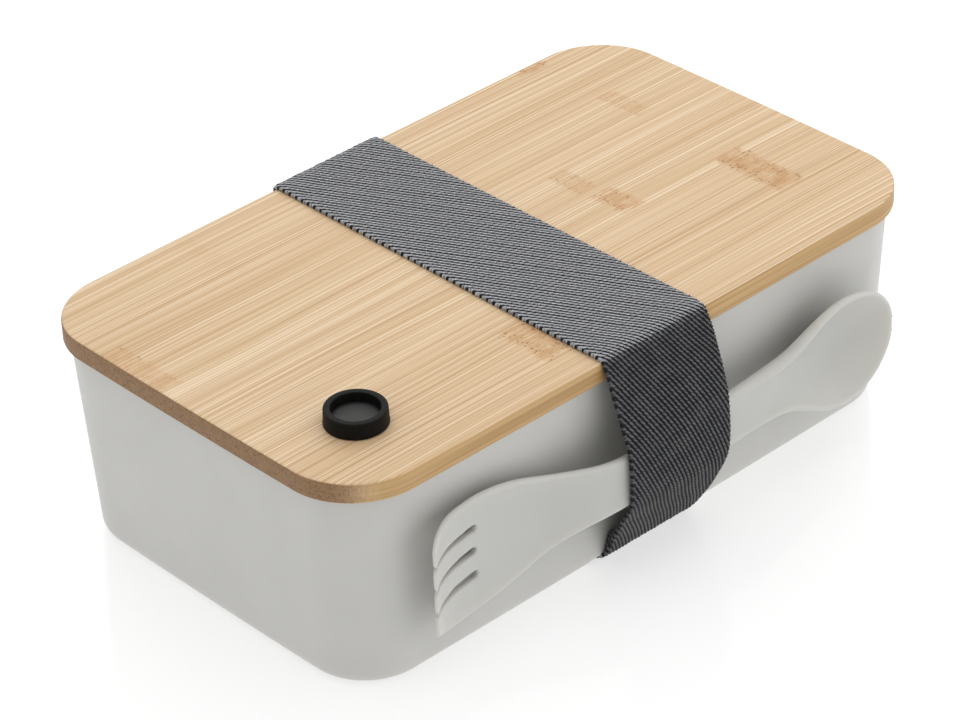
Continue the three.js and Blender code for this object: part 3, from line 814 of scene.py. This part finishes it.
def make_spork():
    places = [station[0] for station in SPORK_STATIONS]
    half, out, sag, thick = (smooth_curve(places, [s[i] for s in SPORK_STATIONS]) for i in range(1, 5))
    spoon_length = SPOON_END_X - SPOON_WIDEST_X
    end_turn = np.radians(np.linspace(0, 88, 60))[1:]
    spoon_end = SPOON_WIDEST_X + spoon_length * np.sin(end_turn)
    x = np.concatenate([np.linspace(places[0], SPOON_WIDEST_X, 200), spoon_end])
    ellipse = np.sqrt(np.clip(1 - ((x - SPOON_WIDEST_X) / spoon_length) ** 2, 0, 1))
    widths = np.where(x > SPOON_WIDEST_X, SPOON_HALF * ellipse, half(x))[:, None]
    sags = np.where(x > SPOON_WIDEST_X, SPOON_SAG * ellipse**2, sag(x))[:, None]
    x = x[:, None]
    half_thick = np.minimum(thick(x), widths) / 2
    side = np.linspace(-1, 1, 41)[None, :]
    middle_y = -(np.minimum(out(x), SPORK_MAX_OUT) - sags * (1 - side**2)) + half_thick
    middle_z = SPORK_Z + (widths - half_thick) * side
    edge_turn = np.radians(np.linspace(0, 180, 9))[None, 1:-1]
    deep, past = half_thick * np.cos(edge_turn), half_thick * np.sin(edge_turn)
    # Round each station: back, upper edge, face and lower edge
    back, upper = middle_y + half_thick, middle_y[:, -1:] + deep
    face, lower = middle_y[:, ::-1] - half_thick, middle_y[:, :1] - deep
    ring_y = np.concatenate([back, upper, face, lower], 1)
    ring_z = np.concatenate([middle_z, middle_z[:, -1:] + past, middle_z[:, ::-1], middle_z[:, :1] - past], 1)
    piece = loft("moulded_spork", np.stack([np.broadcast_to(x, ring_y.shape), ring_y, ring_z], -1))
    combine(piece, tine_cutter(half(np.array([TINE_TIP_X]))[0]), "DIFFERENCE")
    remesh = piece.modifiers.new("even", "REMESH")
    remesh.mode = "VOXEL"
    remesh.voxel_size = SPORK_VOXEL * MM
    smooth = piece.modifiers.new("round", "SMOOTH")
    smooth.factor = 0.5
    smooth.iterations = SPORK_SMOOTHING
    apply_modifiers(piece)
    piece.data.shade_smooth()
    return piece


def tine_cutter(tip_half):
    """What is cut off round the four tines, as one comb: rounded tips and the slots between them."""
    inner_edges = [slot * SLOT_PITCH + side * SLOT_TIP_HALF for slot in (-1, 0, 1) for side in (-1, 1)]
    edges = [-tip_half - TINE_SPARE, *inner_edges, tip_half + TINE_SPARE]
    outline = [(TINE_TIP_X - 12, -tip_half - 12), (TINE_TIP_X + TINE_ROUND + 1.4, -tip_half - 12)]
    for tine in range(4):
        low, high = edges[2 * tine], edges[2 * tine + 1]
        centre, reach = (low + high) / 2, (high - low) / 2
        for angle in np.radians(np.linspace(-90, 90, 13)):
            tip_x = TINE_TIP_X + TINE_ROUND * (1 - math.cos(angle))
            outline.append((tip_x, centre + reach * math.sin(angle)))
        if tine < 3:
            slot = (tine - 1) * SLOT_PITCH
            for angle in np.radians(np.linspace(-90, 90, 11)):
                outline.append((SLOT_END_X + SLOT_HALF * math.cos(angle), slot + SLOT_HALF * math.sin(angle)))
    outline.append((TINE_TIP_X + TINE_ROUND + 1.4, tip_half + 12))
    outline.append((TINE_TIP_X - 12, tip_half + 12))
    x, z = np.array(outline).T
    levels = [np.column_stack([x, np.full(len(x), y), SPORK_Z + z]) for y in (-50, -80)]
    return loft("tine_cutter", levels)


def finish_piece(piece, material, body, slot, *nodes):
    """Gives a piece its material and the body it rides on, and hides the CAD nodes it stands for. Its finish
    slot is not used.
    """
    piece.data.materials.clear()
    piece.data.materials.append(material)
    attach(piece, body)
    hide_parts(*nodes)


finish_piece(make_tub(), plastic("tub_plastic", (0.545, 0.54, 0.515, 1)), "base", "tub_plastic", "tub")
finish_piece(make_lid(), bamboo(), "lid", "bamboo", "lid_board")
seal_finish = silicone("seal_silicone", (0.6, 0.6, 0.58, 1), 0.4, 1.41)
finish_piece(make_seal(), seal_finish, "lid", "seal_silicone", "lid_seal")
plug_finish = silicone("plug_silicone", (0.0035, 0.0035, 0.003, 1), 0.5, 1.2, (0.075, 0.075, 0.073, 1))
finish_piece(make_plug(), plug_finish, "plug", "plug_silicone", "vent_plug")
band = make_band()
stitches = make_stitches()
finish_piece(band, woven("woven_elastic"), "band", "woven_elastic", "elastic_band")
finish_piece(stitches, sewing_thread(), "band", "sewing_thread", "seam_thread")
spork_finish = plastic("spork_plastic", (0.5, 0.5, 0.478, 1))
finish_piece(make_spork(), spork_finish, "spork", "spork_plastic", "spork")


# ---------------------------------------------------------------- floor, light and camera

# Sizes and places here are in metres
FLOOR_REACH = 12.0
FLOOR_LEVEL = -0.1 * MM
FLOOR_GLOW = 0.58
WORLD_LEVEL = 0.66
# Softboxes: name, place, what it points at, width and height, and power in watts
SOFTBOXES = (
    ("top_softbox", (0.1, 0.05, 1.1), (0, 0, 0.03), (1.6, 1.6), 5.6),
    ("front_softbox", (0.35, -1.1, 0.4), (0.0, 0, 0.02), (1.8, 1.0), 3.0),
    ("right_softbox", (0.95, -0.5, 0.35), (0.08, 0, 0.03), (0.6, 0.6), 1.0),
    ("left_softbox", (-1.0, 0.6, 0.4), (-0.05, 0, 0.03), (1.0, 0.8), 1.2),
    ("back_softbox", (0.75, 0.85, 0.75), (0.0, 0.0, 0.0), (1.3, 0.9), 3.6),
)
CAMERA_DISTANCE = 0.9569
CAMERA_TARGET = (-0.00326, 0.00497, 0.0291)
CAMERA_LENS = 140.09  # millimetres


def make_floor():
    mesh = bpy.data.meshes.new("floor")
    reach, low = FLOOR_REACH, FLOOR_LEVEL
    corners = [(-reach, -reach, low), (reach, -reach, low), (reach, reach, low), (-reach, reach, low)]
    mesh.from_pydata(corners, [], [(0, 1, 2, 3)])
    floor = add_object("floor", mesh)
    g = Graph("floor_white", Base_Color=(0.45, 0.45, 0.45, 1), Roughness=0.1, IOR=1.4)
    g.shader.inputs["Emission Color"].default_value = (1, 1, 1, 1)
    g.shader.inputs["Emission Strength"].default_value = FLOOR_GLOW
    mesh.materials.append(g.material)


def area_light(name, place, target, size, power):
    data = bpy.data.lights.new(name, "AREA")
    data.shape = "RECTANGLE"
    data.size, data.size_y = size
    data.energy = power
    light = bpy.data.objects.new(name, data)
    light.location = place
    light.rotation_euler = (Vector(target) - Vector(place)).to_track_quat("-Z", "Y").to_euler()
    bpy.context.scene.collection.objects.link(light)


def set_world(level):
    world = bpy.data.worlds.new("studio")
    world.use_nodes = True
    world.node_tree.nodes["Background"].inputs["Color"].default_value = (1, 1, 1, 1)
    world.node_tree.nodes["Background"].inputs["Strength"].default_value = level
    bpy.context.scene.world = world


def set_camera():
    azimuth, elevation, roll = math.radians(-42.28), math.radians(33.25), math.radians(-2.3)
    target = Vector(CAMERA_TARGET)
    back = Vector((
        math.sin(azimuth) * math.cos(elevation), -math.cos(azimuth) * math.cos(elevation), math.sin(elevation)
    ))
    right = Vector((math.cos(azimuth), math.sin(azimuth), 0))
    up = back.cross(right)
    turned_right = math.cos(roll) * right + math.sin(roll) * up
    turned_up = math.cos(roll) * up - math.sin(roll) * right
    data = bpy.data.cameras.new("camera")
    data.sensor_width = 36.0
    data.lens = CAMERA_LENS
    data.clip_start, data.clip_end = 0.01, 100
    camera = bpy.data.objects.new("camera", data)
    camera.matrix_world = Matrix.Translation(target + back * CAMERA_DISTANCE) @ Matrix(
        (turned_right, turned_up, back)
    ).transposed().to_4x4()
    bpy.context.scene.collection.objects.link(camera)
    bpy.context.scene.camera = camera


make_floor()
set_world(WORLD_LEVEL)
for softbox in SOFTBOXES:
    area_light(*softbox)
set_camera()
bpy.context.scene.view_settings.view_transform = "Standard"
